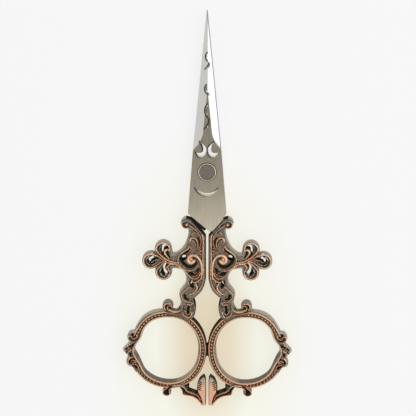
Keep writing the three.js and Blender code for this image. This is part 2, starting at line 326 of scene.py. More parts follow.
def solid(name, values, quads, polygons, mark_names):
    """The plate's mesh: faces on top, the same turned over below, and a wall between their rims."""
    faces = quads.tolist() + polygons
    loops = np.concatenate([quads.ravel(), np.array([i for face in polygons for i in face], int)])
    used, packed = np.unique(loops, return_inverse=True)
    count = len(used)
    sizes = np.array([len(face) for face in faces])
    starts = np.cumsum(sizes) - sizes
    following = np.arange(1, len(packed) + 1)
    following[starts + sizes - 1] = starts
    there = packed[following]
    rim = ~np.isin(packed * count + there, there * count + packed)
    a, b = packed[rim], there[rim]
    wall = np.stack([b, a, a + count, b + count], axis=1)
    upper = [packed[s:s + n].tolist() for s, n in zip(starts, sizes)]
    lower = [[i + count for i in reversed(face)] for face in upper]
    x, y, top, bottom, *sides = (v[used] for v in values)
    points = np.concatenate([np.stack([x, y, top], 1), np.stack([x, y, bottom], 1)]) * MM
    mesh = bpy.data.meshes.new(name)
    mesh.from_pydata(points.tolist(), [], upper + lower + wall.tolist())
    on_wall = np.arange(len(mesh.polygons)) >= 2 * len(faces)
    mesh.polygons.foreach_set("material_index", on_wall.astype(int))
    for mark_name, above, beneath in zip(mark_names, sides[::2], sides[1::2]):
        layer = mesh.attributes.new(mark_name, "FLOAT", "POINT")
        layer.data.foreach_set("value", np.concatenate([above, beneath]))
    return placed(mesh)


def placed(mesh):
    """A new object for a mesh, smooth except across its sharp edges."""
    mesh.shade_smooth()
    mesh.set_sharp_from_angle(angle=SHARP_ANGLE)
    return new_object(mesh.name, mesh)


def new_object(name, data):
    made = bpy.data.objects.new(name, data)
    bpy.context.scene.collection.objects.link(made)
    return made


def turned_over(piece, name, middle):
    """The same piece turned over about the long axis at a height in millimetres."""
    mesh = piece.data.copy()
    lift = Matrix.Translation((0, 0, middle * MM))
    mesh.transform(lift @ Matrix.Rotation(math.pi, 4, "Y") @ lift.inverted())
    return new_object(name, mesh)


# Lines of the ornament
def smooth_line(points):
    """A Catmull-Rom line through the points."""
    p = np.array(points, float)
    p = np.concatenate([[2 * p[0] - p[1]], p, [2 * p[-1] - p[-2]]])
    t = np.arange(STROKE_STEPS)[:, None] / STROKE_STEPS
    spans = []
    for a, b, c, d in zip(p, p[1:], p[2:], p[3:]):
        bend = (2 * a - 5 * b + 4 * c - d) * t**2 + (3 * b - a - 3 * c + d) * t**3
        spans.append((2 * b + (c - a) * t + bend) / 2)
    return np.concatenate([*spans, p[-2:-1]])


def rounded(away):
    """The cross-section of a rounded line or knob, where away is 1 at its side."""
    return np.sqrt(unit(1 - away**2))


class Relief:
    """The casting's height, outline depth, copper, pale metal and black on a grid: patina in the hollows,
    and painted shade added later.
    """

    def __init__(self, sheet, depth):
        self.sheet = sheet
        self.depth = depth
        self.border = depth
        self.height = np.full(depth.shape, GROUND)
        self.copper = np.zeros(depth.shape)
        self.pale = np.zeros(depth.shape)
        self.shade_and_patina = np.zeros(depth.shape)

    def raise_to(self, part, profile, copper=1):
        """Lifts the ground along a profile; copper is the share of copper shown, and the rest is pale metal.
        """
        lifted = GROUND - FOOT + (CREST - GROUND + FOOT) * profile
        grow(self.height, part, np.where(profile > 0, lifted, 0))
        grow(self.copper, part, copper * profile)
        grow(self.pale, part, (1 - copper) * profile)
        self.shade_and_patina[part] *= profile <= 0

    def sink(self, part, share, floor):
        """Lowers the ground to the floor where share is 1, and blackens it."""
        sunk = GROUND - (GROUND - floor) * share
        shrink(self.height, part, np.where(share > 0, sunk, np.inf))
        grow(self.shade_and_patina, part, share)

    def near(self, points, width, end_width, bridge):
        """Windows along a line with the distance from it, 1 at its side; a bridge closes openings."""
        line = smooth_line(points)
        radii = np.linspace(width, end_width, len(line)) / 2
        for a, b, radius in zip(line, line[1:], radii):
            part, away = self.sheet.beside(a, b, radius)
            away = away / radius
            if bridge:
                grow(self.depth, part, radius * (1 - away) + WALL_RUN)
            yield part, away

    def stroke(self, points, width, end_width, copper=1, bridge=False):
        """A rounded ridge along a smooth line."""
        for part, away in self.near(points, width, end_width, bridge):
            self.raise_to(part, rounded(away), copper)

    def groove(self, points, width, end_width, floor=PIT_FLOOR, bridge=False):
        """A black hollow along a smooth line."""
        for part, away in self.near(points, width, end_width, bridge):
            self.sink(part, unit(GROOVE_STEEPNESS * (1 - away)), floor)

    def bead(self, centre, length, width=None, angle=0):
        """A rounded knob."""
        part, away = self.oval(centre, length, width or length, angle)
        self.raise_to(part, rounded(away))

    def knob(self, centre, size):
        """A black knob that stands out from the outline."""
        part, away = self.oval(centre, size, size, 0)
        grow(self.depth, part, (1 - away) * size / 2)
        grow(self.shade_and_patina, part, away < 1)

    def fill(self, centre, length, width, angle):
        """Closes an opening with sunk black ground."""
        part, away = self.oval(centre, length, width, angle)
        grow(self.depth, part, np.where(away < 1, EDGE_REACH, -np.inf))
        self.sink(part, unit(FILL_STEEPNESS * (1 - away)), PIT_FLOOR)

    def opening(self, centre, length, width, angle):
        """A hole through the casting."""
        part, away = self.oval(centre, length, width, angle)
        shrink(self.depth, part, (away - 1) * width / 2)

    def oval(self, centre, length, width, angle):
        """The window round an oval, and the distance from its middle in it, 1 on the oval."""
        reach = max(length, width)
        centre = np.array(centre)
        part = self.sheet.window(centre - reach, centre + reach)
        turn = math.radians(angle)
        px = self.sheet.x[part] - centre[0]
        py = self.sheet.y[part] - centre[1]
        u = (px * math.cos(turn) + py * math.sin(turn)) / (length / 2)
        v = (py * math.cos(turn) - px * math.sin(turn)) / (width / 2)
        return part, np.hypot(u, v)


# Blades
def grind_width(y):
    """How far in the ground face reaches, running out towards the pivot in a curve."""
    rest = unit((GRIND_FULL - y) / (GRIND_FULL - GRIND_LOW))
    return GRIND_WIDTH * (1 - rest**GRIND_CURVE)


def on_crescents(outline, tip_y):
    """Which parts of the outline bound a hole other than the bore."""
    x, y = outline.mean(1).T
    half_width = np.interp(y, (HEEL_Y, EDGE_LOW_Y, tip_y), (HEEL_X, EDGE_LOW_X, TIP_X))
    return (np.abs(x) < half_width - EDGE_BAND) & (y > HEEL_Y) & (np.hypot(x, y) > BORE_REACH)


def shift_small_crescents(outline, tip_y):
    """Moves the small crescents on each stretch of the blade towards its right edge."""
    holes = on_crescents(outline, tip_y)
    y = outline.mean(1)[:, 1]
    for first, last, shift in SMALL_CRESCENTS:
        outline[holes & (y > first) & (y < last), :, 0] += shift


def blade_painted_shade(sheet, outline, tip_y):
    """Painted shade: dark left and lower rims of the crescents, and a painted shadow line round the rivet's
    ring.
    """
    holes = outline[on_crescents(outline, tip_y)]
    away = sheet.distance(holes, 2 * RIM_WIDTH)
    slope_y, slope_x = np.gradient(away, sheet.pitch)
    facing = unit(-RIM_FACING[0] * slope_x - RIM_FACING[1] * slope_y)
    rims = facing * unit((RIM_WIDTH - away) / RIM_FADE)
    radius = np.hypot(sheet.x, sheet.y)
    line = RING_SHADOW_SHARE * ((radius > RING_SHADOW[0]) & (radius < RING_SHADOW[1]))
    return np.maximum(rims, line)


def heel_gap_shade(sheet):
    """Painted shade: black on the inner face where the other blade's heel leaves it bare, in the gap between
    the parts.
    """
    steepness = (HEEL_Y - HEEL_POINT[1]) / (HEEL_X + HEEL_POINT[0])
    bare = HEEL_Y - (HEEL_X - sheet.x) * steepness
    return (sheet.y < bare + GAP_SHADE_PAST).astype(float)


def make_blade():
    low, high = (corner.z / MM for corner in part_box("front_blade"))
    tip_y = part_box("front_blade")[1].y / MM
    outline = cut("front_blade", low + BLADE_CUT_HEIGHT)
    shift_small_crescents(outline, tip_y)
    sheet = Sheet(outline, BLADE_PITCH)
    shade_and_patina = blade_painted_shade(sheet, outline, tip_y)
    gap_shade = heel_gap_shade(sheet)
    depth = sheet.snap(sheet.depth(outline, EDGE_REACH))
    edge_slant = (EDGE_LOW_X - TIP_X) / (tip_y - EDGE_LOW_Y)
    edge_x = EDGE_LOW_X - (sheet.y - EDGE_LOW_Y) * edge_slant
    from_left, from_right = ((edge_x + side * sheet.x) / math.hypot(1, edge_slant) for side in (1, -1))
    width = grind_width(sheet.y)
    below = width - np.minimum(from_left, from_right + RIGHT_GRIND_LESS)
    plunge = PLUNGE * (GRIND_WIDTH - width) * unit(below / PLUNGE_RUN)
    top = high - GRIND_SLOPE * (np.clip(below, 0, None) + plunge)
    ground = unit(below / BLADE_PITCH + 0.5)
    land = unit((LAND_WIDTH - from_right) / BLADE_PITCH + 0.5) * ground * (sheet.x > 0)
    none = np.zeros(top.shape)
    marks = {"ground": (ground, none), "land": (land, none), "shade_and_patina": (shade_and_patina, gap_shade)}
    return plate("front_blade_ground", sheet, depth, top, np.full(top.shape, low), **marks)


# Handle ornament, on the right one, in millimetres and degrees: points of each line, its width and end width
SHANK_STROKES = [
    ([(5.5, -17.1), (4.7, -17.6), (3.65, -18.4), (2.8, -19.4), (2.15, -20.5), (1.9, -21.8), (1.97, -23.1),
      (2.45, -24), (3, -24.9)], 0.5, 0.26),
    ([(1.5, -20.1), (1.25, -21.1), (1.2, -22.5), (1.25, -25), (1.3, -27), (1.3, -28.6), (1.15, -30.8),
      (1, -32.8), (1.15, -34.6), (1.7, -36.7), (2.85, -38.5), (4.35, -39.9)], 0.6, 0.42),
    ([(5.4, -22.1), (5.05, -21.25), (4.3, -21), (3.3, -21.75), (2.9, -22.9), (3.1, -24.1),
      (4, -25.5)], 0.62, 0.3),
    ([(4.6, -21.9), (4.1, -22.15), (3.6, -22.95), (3.5, -23.95)], 0.4, 0.24),
    ([(4.5, -19.7), (4.05, -19.3), (3.6, -19.55)], 0.48, 0.34),
    ([(2, -24.3), (2.6, -24.95), (3.4, -25.5)], 0.36, 0.2),
    ([(1.8, -25.3), (2.65, -25.55)], 0.46, 0.24),
    ([(1.8, -26.4), (2.4, -26.3)], 0.42, 0.24),
    ([(5.85, -24.5), (6.95, -25.3), (8.35, -26.35), (9.1, -27.55), (9.2, -28.6), (8.8, -29.85), (7.75, -31),
      (6.4, -31.65), (5.1, -31.75), (4.15, -31.35), (3.6, -30.4)], 0.5, 0.38),
    ([(6.05, -24.75), (5.65, -23.95), (5.1, -24.25), (5.15, -24.95), (5.85, -25.75),
      (6.7, -26.35)], 0.46, 0.3),
    ([(4.3, -28.75), (4.95, -29.2), (5.7, -28.95), (6.05, -28.15), (5.65, -27.25), (4.6, -26.75),
      (3.3, -27.05), (2.35, -28.1), (1.85, -29.6), (1.65, -31.4), (1.65, -33), (1.85, -34.5)], 1.35, 0.55),
    ([(10.3, -29.4), (9.25, -30.15), (8.15, -31.1), (7, -31.95), (6.05, -33.05), (5.1, -34), (4.15, -34.4),
      (3.2, -34.2), (2.45, -33.4), (2.15, -32.6)], 0.5, 0.42),
    ([(4.5, -33.55), (3.75, -33.6), (2.85, -32.85), (2.35, -32)], 0.36, 0.28),
    ([(4.3, -32.3), (3.75, -32.55), (3.3, -32.1)], 0.32, 0.24),
    ([(4.9, -35), (4.15, -35.55), (3.2, -35.4), (2.45, -34.8), (2.05, -34.3)], 0.52, 0.4),
    ([(3.67, -36.07), (3.16, -37.22), (3.56, -38.28), (4.52, -39.22), (5.6, -39.65)], 0.66, 0.5),
    ([(5.4, -37.2), (6.16, -37.5), (7.01, -38.3), (7.92, -39.43), (8.15, -40.08), (7.81, -40.97),
      (6.91, -41.74), (6, -42.22), (5.21, -42.11), (4.8, -42.58), (5.21, -43.05),
      (6.46, -42.84)], 0.46, 0.44),
    ([(5.22, -45.13), (5.56, -45.84), (6.13, -46.25), (6.69, -45.71), (6.92, -45.12)], 0.36, 0.36),
    ([(8.1, -16.7), (7.6, -17.65), (6.65, -18), (5.85, -17.75)], 0.6, 0.42),
]
PALE_STROKES = [
    ([(8.05, -16.6), (7.5, -15.9), (6.45, -15.5), (5.4, -15.85), (4.3, -16.85), (3.3, -18), (2.35, -19.1),
      (1.7, -19.9)], 0.5, 0.3),
    ([(4.7, -41.2), (4.45, -42.8), (4.5, -44.5), (4.75, -45.7)], 0.34, 0.26),
    ([(7.2, -43.4), (7.1, -44.4), (7.05, -45.2)], 0.3, 0.3),
    ([(5.6, -19.8), (5.5, -20.6)], 0.28, 0.24),
    ([(2.7, -34.9), (2.75, -36), (3.3, -37.6)], 0.26, 0.22),
    ([(3.55, -72.6), (4.73, -72.07), (5.82, -71.75)], 0.36, 0.3),
    ([(22.46, -51.22), (23.08, -52.17), (23.75, -52.65), (24.31, -52.96)], 0.4, 0.26),
]
SHANK_BEADS = [(4.95, -28.1, 1.2), (6.4, -16.85, 1.05), (5.3, -21.9, 0.7), (8.06, -46.45, 0.5)]
SHANK_GROOVES = [
    ([(5.8, -25.3), (6.9, -26.1), (8, -27.4), (8.1, -28.4), (7.4, -29.5), (6, -30.5), (4.6, -30.4),
      (3.6, -29.3)], 1.5, 1.3),
    ([(5.3, -32.7), (4.4, -32.9), (3.4, -32.3), (2.7, -31.2)], 1.5, 0.9),
    ([(5, -35.6), (4.9, -36.3), (4.6, -37.2)], 1.9, 1.1),
    ([(7.1, -40), (6.9, -40.9), (6, -41.3)], 1.1, 0.7),
    ([(5.95, -43.7), (6.1, -44.8), (6.05, -45.8)], 0.9, 1),
    ([(10.9, -44.7), (9.9, -44.6), (9, -44.2)], 1.3, 1.1),
    ([(3, -21), (2.5, -22), (2.45, -23)], 0.5, 0.4),
]
SHANK_CUTS = [
    ([(4.9, -28.5), (4.6, -28), (4.15, -27.7), (3.6, -28), (3.2, -28.7)], 0.2, 0.3),
    ([(7.2, -16.3), (7.25, -17), (6.7, -17.55), (5.9, -17.4)], 0.22, 0.26),
]
SHANK_OPENINGS = [(7.35, -27.5, 1.6, 1.25, -42), (4.95, -36, 0.55, 1.9, 20)]
LOBE_STROKES = [
    ([(16, -24.9), (15.6, -25.6), (14.95, -26.4), (13.9, -27.4), (12.75, -28.15), (11.5, -28.75),
      (9.4, -29.15)], 0.5, 0.5),
    ([(17.7, -26.22), (17.2, -26.35), (16.4, -26.7), (15.2, -27.3), (14.05, -28.1), (13, -28.6)], 0.5, 0.36),
    ([(17.7, -30.75), (16.7, -30.4), (15.75, -29.8), (14.7, -29.1), (13.8, -28.75),
      (12.8, -28.8)], 0.5, 0.36),
    ([(15.7, -31.4), (15, -30.5), (14.25, -29.65), (13.55, -29.25), (12.8, -29.15), (11.4, -29.3),
      (9.5, -29.75)], 0.5, 0.4),
]
LOBE_PALES = [
    ([(14.35, -23.6), (14.9, -24.5), (14.7, -25.5), (14.2, -26.5)], 0.7, 0.3),
    ([(18.4, -27.1), (19.15, -28.05), (19, -29.1), (18.2, -29.85)], 0.7, 0.5),
    ([(15.75, -29.1), (16.5, -29.5), (17.4, -29.95)], 0.4, 0.5),
    ([(12.35, -33.1), (13.35, -33.65), (14.4, -33.2), (14.85, -32.2), (14.7, -31.2)], 0.75, 0.6),
]
LOBE_NOTCHES = [(16.4, -25.95), (16.25, -30.65)]
LOBE_NOTCH_REACH = 0.85
LOBE_BOX = ((11.6, -35), (math.inf, -21.5))
LOBE_STEM = ((-math.inf, -31.2), (12.5, -25.5))
LOBE_EYE_REACH = 1.4
LOBE_TIP_SIDE_SHADE = 0.45
LOBE_CURLS = [
    ([(12.9, -25), (13.25, -25.25), (13.4, -25.9), (13.05, -26.6), (12.4, -27.3),
      (11.95, -28.1)], 1.05, 0.3),
    ([(11.75, -24.5), (11.98, -25.15), (12.35, -24.95), (12.95, -24.9)], 0.5, 0.6),
    ([(17.6, -29), (17.1, -28.75), (16.4, -28.3), (15.5, -28.1)], 0.46, 0.3),
    ([(10.6, -29.65), (11.6, -29.6), (12.3, -30.25), (12.25, -31.4), (11.85, -32.1)], 0.5, 0.46),
    ([(11.95, -29.95), (12.55, -30.4), (12.9, -31.15)], 0.4, 0.34),
]
LOBE_GROOVES = [
    ([(14.15, -25.6), (13.85, -26.3), (13.2, -27.1)], 0.8, 0.5),
    ([(12.5, -25.8), (12.3, -26.6), (11.8, -27.4)], 0.6, 0.4),
    ([(14.9, -27.65), (16.3, -27.7), (17.5, -28.15)], 0.45, 0.7),
    ([(14.2, -31.8), (13.6, -32.6), (12.5, -32.6)], 0.6, 0.5),
    ([(12.2, -23.9), (12.6, -24.2)], 0.7, 0.6),
    ([(13, -29.6), (12.2, -30.4)], 0.5, 0.4),
]
LOBE_EYES = [(13.89, -24.95, 2.5, 1.6, 55), (17.88, -28.65, 2.5, 1.6, 0), (13.83, -32.26, 2.5, 1.6, -55)]
LOBE_OPENINGS = [
    (13.45, -24.05, 1.6, 1.6, 0), (14, -24.9, 0.7, 2.6, 10),
    (17.25, -27.8, 0.9, 1.42, 0), (17.8, -28.15, 0.7, 1.5, 0), (18.25, -28.6, 0.65, 1.85, 0),
    (13.35, -30.1, 0.6, 1.8, 15), (13.72, -31, 0.62, 2.2, 0), (13.5, -31.9, 0.75, 2, 0),
    (13.1, -32.6, 1.1, 1.8, 0),
]
RING_BRIDGES = [
    ([(11.9, -44.6), (11.45, -45.2), (10.45, -45.5), (9.3, -45.4), (8.25, -44.65),
      (7.75, -43.6)], 0.5, 0.42),
    ([(11.05, -70.36), (9.17, -70.17), (8.23, -70.36), (7.59, -70.84), (6.95, -71.32), (6.76, -71.84),
      (6.22, -72.32), (5.33, -72.69), (4.44, -73.02), (3.65, -73.34), (2.81, -73.98),
      (2.17, -75.14)], 0.5, 0.36),
    ([(7.95, -72.04), (7.92, -72.78), (7.55, -73.28), (6.42, -73.5), (5.23, -73.72), (4.24, -74.12),
      (3.26, -74.81), (2.47, -75.66), (1.77, -76.46)], 0.36, 0.46),
    ([(11.05, -70.86), (11.84, -71.22), (12.28, -71.79), (12.26, -72.63), (12.05, -73.1)], 0.36, 0.32),
    ([(12.92, -71.16), (13.71, -71.68), (14.26, -72.35), (14.24, -73.03), (13.73, -73.46), (13.05, -73.65),
      (12.4, -73.45), (12.05, -73)], 0.4, 0.34),
    ([(22.29, -53.67), (22.8, -54.2), (23.42, -54.54), (23.92, -54.41), (24.27, -53.82), (24.67, -53.53),
      (25.11, -53.7), (25.29, -54.24), (25.1, -54.93), (24.55, -55.42), (23.94, -55.59),
      (23.38, -55.5)], 0.42, 0.4),
    ([(24.33, -58.37), (25, -58.69), (25.52, -59.28), (25.64, -59.71)], 0.46, 0.42),
    ([(24.01, -60.74), (24.72, -61.01), (25.24, -61.59), (25.45, -62.24), (25.26, -62.89), (24.65, -63.43),
      (24.05, -63.82), (23.64, -64.36), (23.14, -65.12), (22.54, -65.94)], 0.44, 0.4),
]
RING_STROKES = [
    ([(13.2, -44.78), (13.65, -43.88), (13.45, -43.15), (12.69, -42.66), (11.7, -42.8)], 0.46, 0.4),
    ([(12.08, -45.02), (12.48, -44.6), (12.72, -43.95), (12.3, -43.37), (11.5, -43.4)], 0.46, 0.36),
    ([(12.71, -45.67), (11.35, -45.95), (10.22, -46.34), (9.08, -46.29), (8.28, -45.76)], 0.32, 0.3),
    ([(4.8, -45.49), (5.1, -46.5), (5.68, -47.2), (6.7, -47.02), (7.49, -46.48), (7.77, -45.76)], 0.56, 0.4),
    ([(24.61, -56.28), (25.02, -56.76)], 0.34, 0.3),
    ([(25.63, -56.75), (25.39, -57.24), (25.04, -57.78), (24.48, -57.96)], 0.4, 0.32),
    ([(26.02, -58.68), (26.57, -58.3), (26.95, -58.2)], 0.4, 0.3),
    ([(22.8, -62.15), (23.41, -61.77), (24.02, -61.82), (24.49, -62.25)], 0.4, 0.3),
    ([(22.91, -62.53), (23.52, -62.31), (24.03, -62.58)], 0.34, 0.3),
    ([(22.11, -64.54), (22.26, -63.78), (22.76, -63.23), (23.53, -63.07), (24.14, -62.95)], 0.38, 0.3),
]
RING_GROOVES = [
    ([(23.91, -53.07), (23.4, -53.56), (22.95, -53.88)], 0.95, 0.5),
    ([(22.71, -54.69), (23.53, -55.05), (24.23, -54.86), (24.65, -54.3)], 0.5, 0.45),
    ([(23.85, -56.6), (24.1, -57)], 0.6, 0.5),
    ([(24.6, -56.9), (24.85, -57.3)], 0.6, 0.5),
    ([(25.65, -57.7), (26.1, -57.95)], 0.55, 0.4),
    ([(25.85, -58.95), (26.1, -59.05)], 0.5, 0.4),
    ([(24.6, -59.6), (24.75, -60.3)], 0.75, 0.6),
    ([(23.2, -61.34), (24.01, -61.28), (24.63, -61.6), (24.96, -62.19), (24.9, -62.84)], 0.42, 0.4),
    ([(23.46, -62.15), (24.08, -62.2), (24.44, -62.57)], 0.3, 0.3),
    ([(22.62, -64.37), (23.13, -63.88), (23.63, -63.5)], 0.65, 0.6),
    ([(11.54, -70.49), (12.13, -70.96), (12.63, -71.48)], 0.46, 0.5),
    ([(10.8, -44.9), (9.8, -44.9), (8.9, -44.4)], 0.9, 0.8),
    ([(13, -44.4), (13.1, -43.7), (12.6, -43.05), (11.9, -43.1)], 0.5, 0.4),
    ([(11.6, -44.4), (12, -43.9)], 0.6, 0.6),
]
BRACKET_HOLLOW = [
    ([(8.28, -70.78), (7.84, -71.41), (7.62, -72.04), (7.3, -72.6), (6.61, -72.89), (5.43, -73.17),
      (4.44, -73.54), (3.26, -74.08), (2.47, -74.93), (1.72, -75.83)], 0.9, 0.5),
]
BRACKET_NOTCH = ((4.75, -71.15), 2.6, 1.6, 12)
DARK_KNOBS = [(6.4, -70.95, 1.2), (13.2, -72.5, 2.1)]
RING_CENTRE = (12.05, -57.7)
RING_HOLE_REACH = 11.55
RING_STEPS = 720
RING_BAND = 2.35
RING_LINES = (0.42, 1.9)
RING_LINE_WIDTH = 0.48
BEAK_FROM = -36
BEAK_TO = 21
BARE_RUNS = [(BEAK_FROM, BEAK_TO), (87, 123), (-112, -88)]
BEAD_SPACING = 1.14
BEAD_LENGTH = 0.8
BEAD_WIDTH = 0.58
ROPE_TO = -85
ROPE_LENGTH = 1
ROPE_WIDTH = 0.38
ROPE_SLANT = 52
ROPE_OUT = 0.1
RING_FLANKS = [
    (21.4, -54.1, 2, 0.5), (21.6, -63, 2.4, 0.5), (23.6, -59.3, 1.6, -0.3), (12.5, -69.2, 6, -0.28),
]
RING_LEDGES = [(2.4, -58.5, 6.5, 0.36), (22.7, -60.6, 2.2, 0.35)]
LEAF_TOP = -66.2
LEAF_POINT = (0.93, -66.4)
LEAF_SIDES = [(2.4, 5.3), (-0.45, 2.4)]
LEAF_CURVE = 2.1
LEAF_TAPER = (1.4, 3.4)
LEAF_INNER = (0.5, 0.15)
LEAF_SIDE_SLANT = 0.8
LEAF_RIGHT = 3.5
LEAF_ABOVE = 2
LEAF_RIM = (0.04, 0.12)
LEAF_JOIN_RUN = 0.2
LEAF_DULL_TO = -67.5
LEAF_DULL_RUN = 7
LEAF_RUBBED = (0.12, 0.95)
LEAF_FACE = 0.85
RING_REACH = 13.1
LEAF_JOIN = [(3.1, -72), (2.96, -72.71), (2.46, -73.56), (2.07, -74.51), (1.68, -75.9)]
LEAF_JOIN_WIDTHS = (0.4, 0.3)
LEAF_HATCHES = 5
LEAF_HATCH = [(1.77, -69.16), (2.36, -68.82)]
LEAF_HATCH_WIDTHS = (0.22, 0.3)
LEAF_HATCH_SPACING = 0.63
LEAF_HATCH_LEAN = 0.1


# Handles
def ridge(away, width):
    """The cross-section of a rounded line of a width."""
    return rounded(2 * away / width)


def draw_lines(draw, table, **options):
    """Draws each line of a table: its points, its width and its width at the end."""
    for points, width, end_width in table:
        draw(points, width, end_width, **options)


def draw_spots(draw, table):
    """Draws each knob or oval of a table: its middle and sizes."""
    for x, y, *sizes in table:
        draw((x, y), *sizes)


def draw_shank(relief):
    draw_lines(relief.groove, SHANK_GROOVES, floor=SHANK_FLOOR)
    draw_lines(relief.stroke, PALE_STROKES, copper=0)
    draw_lines(relief.stroke, SHANK_STROKES)
    draw_spots(relief.bead, SHANK_BEADS)
    draw_lines(relief.groove, SHANK_CUTS, floor=CUT_FLOOR)
    draw_spots(relief.opening, SHANK_OPENINGS)


def draw_lobe_borders(relief):
    """A copper line along the lobes' edges, duller with painted shade where they face the tips, broken at
    the notches.
    """
    on_lobes = relief.sheet.in_box(*LOBE_BOX) & ~relief.sheet.in_box(*LOBE_STEM)
    for notch in LOBE_NOTCHES:
        on_lobes &= relief.sheet.apart(notch) > LOBE_NOTCH_REACH
    slope_y = np.gradient(relief.border, relief.sheet.pitch, axis=0)
    copper_shown = 1 - LOBE_TIP_SIDE_SHADE * unit(-slope_y)
    line = ridge(relief.border - EDGE_LINE, EDGE_LINE_WIDTH)
    relief.raise_to(on_lobes, line[on_lobes], copper_shown[on_lobes])


def draw_trefoil(relief, outline):
    """Fills the eyes with black ground, draws the lobes, and opens the eyes again round the curls."""
    eyes = np.array([eye[:2] for eye in LOBE_EYES])
    apart = np.linalg.norm(outline.mean(1)[:, None] - eyes[None], axis=2).min(1)
    relief.border = relief.sheet.depth(outline[apart > LOBE_EYE_REACH], EDGE_REACH)
    draw_spots(relief.fill, LOBE_EYES)
    draw_lines(relief.groove, LOBE_GROOVES)
    draw_lobe_borders(relief)
    draw_lines(relief.stroke, LOBE_PALES, copper=0)
    draw_lines(relief.stroke, LOBE_STROKES)
    draw_spots(relief.opening, LOBE_OPENINGS)
    draw_lines(relief.stroke, LOBE_CURLS, bridge=True)


def swell(relief, from_hole, x, y, spread, amount):
    """Moves the edge of the ring's hole in round a point, and gives how far."""
    apart = relief.sheet.apart((x, y))
    swelling = amount * np.exp(-((apart / spread) ** 2)) * (np.abs(from_hole) < RING_BAND / 2)
    relief.depth += swelling
    relief.border += swelling
    return swelling


def swell_flanks(relief, from_hole):
    """Shapes the hole and its lines beside its point and at its foot, then adds ledges."""
    for flank in RING_FLANKS:
        from_hole += swell(relief, from_hole, *flank)
    for ledge in RING_LEDGES:
        swell(relief, from_hole, *ledge)


def draw_ring_lines(relief, from_hole):
    """Two lines round the hole, the outer one broken at the beak, the neck and the bracket."""
    x, y = relief.sheet.x, relief.sheet.y
    toward = np.degrees(np.arctan2(y - RING_CENTRE[1], x - RING_CENTRE[0]))
    inner, outer = (ridge(from_hole - reach, RING_LINE_WIDTH) for reach in RING_LINES)
    relief.raise_to(..., inner)
    bare = np.any([(toward >= first) & (toward <= last) for first, last in BARE_RUNS], axis=0)
    relief.raise_to(~bare, outer[~bare])


def draw_beads(relief, outline):
    """Beads between the ring's lines, slanted into a rope on the outer lower side."""
    edge = hole_edge(outline, RING_CENTRE, RING_STEPS)
    ahead = np.roll(edge, -1) - np.roll(edge, 1)
    out = -1j * ahead / np.abs(ahead)
    middle = edge + out * sum(RING_LINES) / 2
    travelled = np.cumsum(np.abs(np.diff(middle, append=middle[:1])))
    for at in np.arange(0, travelled[-1], BEAD_SPACING):
        i = int(np.searchsorted(travelled, at)) % len(middle)
        toward, run = np.degrees(np.angle([middle[i], ahead[i]]))
        if any(first < toward < last for first, last in BARE_RUNS):
            continue
        roped = ROPE_TO < toward < BEAK_FROM
        place = middle[i] + out[i] * ROPE_OUT * roped
        sizes = (ROPE_LENGTH, ROPE_WIDTH, run + ROPE_SLANT) if roped else (BEAD_LENGTH, BEAD_WIDTH, run)
        relief.bead((RING_CENTRE[0] + place.real, RING_CENTRE[1] + place.imag), *sizes)


def draw_ring(relief, outline):
    hole = outline[np.linalg.norm(outline.mean(1) - RING_CENTRE, axis=1) < RING_HOLE_REACH]
    from_hole = -relief.sheet.depth(hole, 3 * RING_BAND)
    swell_flanks(relief, from_hole)
    draw_lines(relief.groove, RING_GROOVES)
    relief.opening(*BRACKET_NOTCH)
    draw_lines(relief.groove, BRACKET_HOLLOW, bridge=True)
    draw_spots(relief.knob, DARK_KNOBS)
    draw_ring_lines(relief, from_hole)
    draw_beads(relief, outline)
    draw_lines(relief.stroke, RING_STROKES)
    draw_lines(relief.stroke, RING_BRIDGES, bridge=True)


def sharpen_leaf(relief):
    """Trims the leaf's top to a point with a long curved side and a short one."""
    x, y = relief.sheet.x, relief.sheet.y
    beyond_ring = relief.sheet.apart(RING_CENTRE) > RING_REACH
    for spread, drop in LEAF_SIDES:
        rest = unit(1 - (LEAF_POINT[1] - y) / drop)
        side = LEAF_POINT[0] + spread * (1 - rest**LEAF_CURVE)
        inside = LEAF_SIDE_SLANT * (side - x) * math.copysign(1, spread)
        low, high = LEAF_POINT[1] - drop, LEAF_POINT[1] + LEAF_ABOVE
        top = beyond_ring & (x < LEAF_RIGHT) & (y > low) & (y < high)
        shrink(relief.depth, top, inside[top])


def draw_leaf(relief):
    """A hatched copper face that dulls and thins towards its top, parted from the bracket."""
    sharpen_leaf(relief)
    x, y = relief.sheet.x, relief.sheet.y
    join_x, join_y = np.transpose(LEAF_JOIN)
    outer = np.interp(-y, -join_y, join_x)
    on_leaf = (y < LEAF_TOP) & (x < outer)
    face = rising(relief.depth, *LEAF_RIM) * unit((outer - x) / LEAF_JOIN_RUN)
    face *= rising(x, *LEAF_INNER)
    copper_shown = np.clip((LEAF_DULL_TO - y) / LEAF_DULL_RUN, *LEAF_RUBBED)
    relief.raise_to(on_leaf, (LEAF_FACE * face)[on_leaf], copper_shown[on_leaf])
    thin, run = LEAF_TAPER
    taper = thin + (HALF_THICKNESS - thin) * unit((LEAF_POINT[1] - y) / run)
    shrink(relief.height, on_leaf, taper[on_leaf])
    relief.groove(LEAF_JOIN, *LEAF_JOIN_WIDTHS)
    for step in range(LEAF_HATCHES):
        lean = LEAF_HATCH_LEAN * step
        drop = LEAF_HATCH_SPACING * step
        hatch = [(hatch_x + lean, hatch_y - drop) for hatch_x, hatch_y in LEAF_HATCH]
        relief.groove(hatch, *LEAF_HATCH_WIDTHS, CUT_FLOOR)


def touch_rings(relief):
    """A flat on the ring's inner side that almost meets the other ring."""
    x, y = relief.sheet.x, relief.sheet.y
    pad = np.minimum(x - CONTACT_X, CONTACT_TAPER * (CONTACT_HALF - np.abs(y - CONTACT_Y)))
    by_ring = x < CONTACT_REACH
    grow(relief.depth, by_ring, np.minimum(pad, WALL_RUN)[by_ring])


